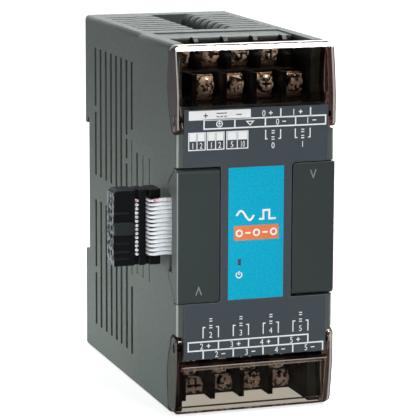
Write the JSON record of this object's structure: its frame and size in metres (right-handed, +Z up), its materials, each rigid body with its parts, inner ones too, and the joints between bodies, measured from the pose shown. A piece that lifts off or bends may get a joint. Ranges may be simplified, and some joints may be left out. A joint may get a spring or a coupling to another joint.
{
  "type": "plc expansion module",
  "caption": "Narrow rail-mounted control module with stepped screw terminals under hinged smoked covers, two front flaps and a ribbon lead ending in a socket plug.",
  "frame": {"origin": "bottom centre of the housing, where it stands, on the middle of its 40 by 80 mm footprint", "axes": "+X to the module's right seen from the front, +Y to the rail at the rear, +Z up"},
  "size_m": [0.0535, 0.0802, 0.09],
  "materials": {
    "case_plastic": "moulded grey-green ABS with a fine matt texture",
    "panel_plastic": "moulded dark slate ABS, fine matt texture",
    "flap_plastic": "moulded dark greenish slate ABS, fine matt texture",
    "black_plastic": "black glass-filled plastic",
    "plug_black": "black moulded polyester, slight sheen",
    "clip_plastic": "dark moulded plastic",
    "smoked_clear": "smoky brown clear polycarbonate, polished",
    "tinned_brass": "nickel plated brass",
    "screw_brass": "plated steel screw and washer",
    "steel": "bright spring steel",
    "gold_pins": "gold flashed contact pins",
    "label_blue": "printed polyester label, speckled cyan",
    "lamp_clear": "clear moulded light guide, dark when unlit",
    "lamp_green": "diffused lamp body",
    "board_green": "glass epoxy board with green solder mask",
    "capacitor_sleeve": "shrink sleeve",
    "ribbon_grey": "light grey flexible ribbon insulation"
  },
  "bodies": {
    "root": {"rear_housing": "case_plastic", "front_housing": "panel_plastic", "upper_terminal_block": "black_plastic", "lower_terminal_block": "black_plastic", "upper_terminal_plates": "tinned_brass", "lower_terminal_plates": "tinned_brass", "flap_hinge_pins": "steel", "face_label": "label_blue", "light_pipe": "lamp_clear", "status_led": "lamp_green", "front_board": "board_green", "bus_board": "board_green", "main_board": "board_green", "power_board": "board_green", "board_connectors": "black_plastic", "integrated_circuits": "black_plastic", "dc_converter": "black_plastic", "electrolytic_capacitors": "capacitor_sleeve", "expansion_header": "black_plastic", "expansion_pins": "gold_pins", "ribbon_header": "black_plastic", "ribbon_inner": "ribbon_grey", "din_spring": "steel"},
    "upper_cover": {"upper_terminal_cover": "smoked_clear"},
    "lower_cover": {"lower_terminal_cover": "smoked_clear"},
    "left_flap_body": {"left_flap": "flap_plastic"},
    "right_flap_body": {"right_flap": "flap_plastic"},
    "rail_clip": {"din_clip": "clip_plastic"},
    "ribbon_plug": {"ribbon_outer": "ribbon_grey", "plug_body": "plug_black", "plug_contacts": "gold_pins", "plug_cap": "plug_black", "plug_strain_relief": "plug_black"},
    "upper_front_screw_1_body": {"upper_front_screw_1": "screw_brass"},
    "upper_front_screw_2_body": {"upper_front_screw_2": "screw_brass"},
    "upper_front_screw_3_body": {"upper_front_screw_3": "screw_brass"},
    "upper_front_screw_4_body": {"upper_front_screw_4": "screw_brass"},
    "upper_rear_screw_1_body": {"upper_rear_screw_1": "screw_brass"},
    "upper_rear_screw_2_body": {"upper_rear_screw_2": "screw_brass"},
    "upper_rear_screw_3_body": {"upper_rear_screw_3": "screw_brass"},
    "upper_rear_screw_4_body": {"upper_rear_screw_4": "screw_brass"},
    "lower_front_screw_1_body": {"lower_front_screw_1": "screw_brass"},
    "lower_front_screw_2_body": {"lower_front_screw_2": "screw_brass"},
    "lower_front_screw_3_body": {"lower_front_screw_3": "screw_brass"},
    "lower_front_screw_4_body": {"lower_front_screw_4": "screw_brass"},
    "lower_rear_screw_1_body": {"lower_rear_screw_1": "screw_brass"},
    "lower_rear_screw_2_body": {"lower_rear_screw_2": "screw_brass"},
    "lower_rear_screw_3_body": {"lower_rear_screw_3": "screw_brass"},
    "lower_rear_screw_4_body": {"lower_rear_screw_4": "screw_brass"}
  },
  "joints": [
    {"name": "upper_cover_hinge", "type": "hinge", "parent": "root", "child": "upper_cover", "pos_m": [0, -0.038, 0.0724], "axis": [1, 0, 0], "range_deg": [0, 105]},
    {"name": "lower_cover_hinge", "type": "hinge", "parent": "root", "child": "lower_cover", "pos_m": [0, -0.038, 0.0169], "axis": [1, 0, 0], "range_deg": [-105, 0]},
    {"name": "left_flap_hinge", "type": "hinge", "parent": "root", "child": "left_flap_body", "pos_m": [-0.0146, -0.03865, 0.05955], "axis": [1, 0, 0], "range_deg": [-95, 0]},
    {"name": "right_flap_hinge", "type": "hinge", "parent": "root", "child": "right_flap_body", "pos_m": [0.0146, -0.03865, 0.02995], "axis": [1, 0, 0], "range_deg": [0, 95]},
    {"name": "rail_clip_slide", "type": "slide", "parent": "root", "child": "rail_clip", "axis": [0, 0, -1], "range_m": [0, 0.003], "stiffness_N_per_m": 200, "springref_m": -0.0005, "deforming": ["din_spring"]},
    {"name": "ribbon_swing", "type": "hinge", "parent": "root", "child": "ribbon_plug", "pos_m": [-0.02, -0.0351, 0.0461], "axis": [0, 0, 1], "range_deg": [-4, 50]},
    {"name": "upper_front_screw_1_travel", "type": "slide", "parent": "root", "child": "upper_front_screw_1_body", "axis": [0, -1, 0], "range_m": [0, 0.0025]},
    {"name": "upper_front_screw_2_travel", "type": "slide", "parent": "root", "child": "upper_front_screw_2_body", "axis": [0, -1, 0], "range_m": [0, 0.0025]},
    {"name": "upper_front_screw_3_travel", "type": "slide", "parent": "root", "child": "upper_front_screw_3_body", "axis": [0, -1, 0], "range_m": [0, 0.0025]},
    {"name": "upper_front_screw_4_travel", "type": "slide", "parent": "root", "child": "upper_front_screw_4_body", "axis": [0, -1, 0], "range_m": [0, 0.0025]},
    {"name": "upper_rear_screw_1_travel", "type": "slide", "parent": "root", "child": "upper_rear_screw_1_body", "axis": [0, -1, 0], "range_m": [0, 0.0025]},
    {"name": "upper_rear_screw_2_travel", "type": "slide", "parent": "root", "child": "upper_rear_screw_2_body", "axis": [0, -1, 0], "range_m": [0, 0.0025]},
    {"name": "upper_rear_screw_3_travel", "type": "slide", "parent": "root", "child": "upper_rear_screw_3_body", "axis": [0, -1, 0], "range_m": [0, 0.0025]},
    {"name": "upper_rear_screw_4_travel", "type": "slide", "parent": "root", "child": "upper_rear_screw_4_body", "axis": [0, -1, 0], "range_m": [0, 0.0025]},
    {"name": "lower_front_screw_1_travel", "type": "slide", "parent": "root", "child": "lower_front_screw_1_body", "axis": [0, -1, 0], "range_m": [0, 0.0025]},
    {"name": "lower_front_screw_2_travel", "type": "slide", "parent": "root", "child": "lower_front_screw_2_body", "axis": [0, -1, 0], "range_m": [0, 0.0025]},
    {"name": "lower_front_screw_3_travel", "type": "slide", "parent": "root", "child": "lower_front_screw_3_body", "axis": [0, -1, 0], "range_m": [0, 0.0025]},
    {"name": "lower_front_screw_4_travel", "type": "slide", "parent": "root", "child": "lower_front_screw_4_body", "axis": [0, -1, 0], "range_m": [0, 0.0025]},
    {"name": "lower_rear_screw_1_travel", "type": "slide", "parent": "root", "child": "lower_rear_screw_1_body", "axis": [0, -1, 0], "range_m": [0, 0.0025]},
    {"name": "lower_rear_screw_2_travel", "type": "slide", "parent": "root", "child": "lower_rear_screw_2_body", "axis": [0, -1, 0], "range_m": [0, 0.0025]},
    {"name": "lower_rear_screw_3_travel", "type": "slide", "parent": "root", "child": "lower_rear_screw_3_body", "axis": [0, -1, 0], "range_m": [0, 0.0025]},
    {"name": "lower_rear_screw_4_travel", "type": "slide", "parent": "root", "child": "lower_rear_screw_4_body", "axis": [0, -1, 0], "range_m": [0, 0.0025]}
  ]
}
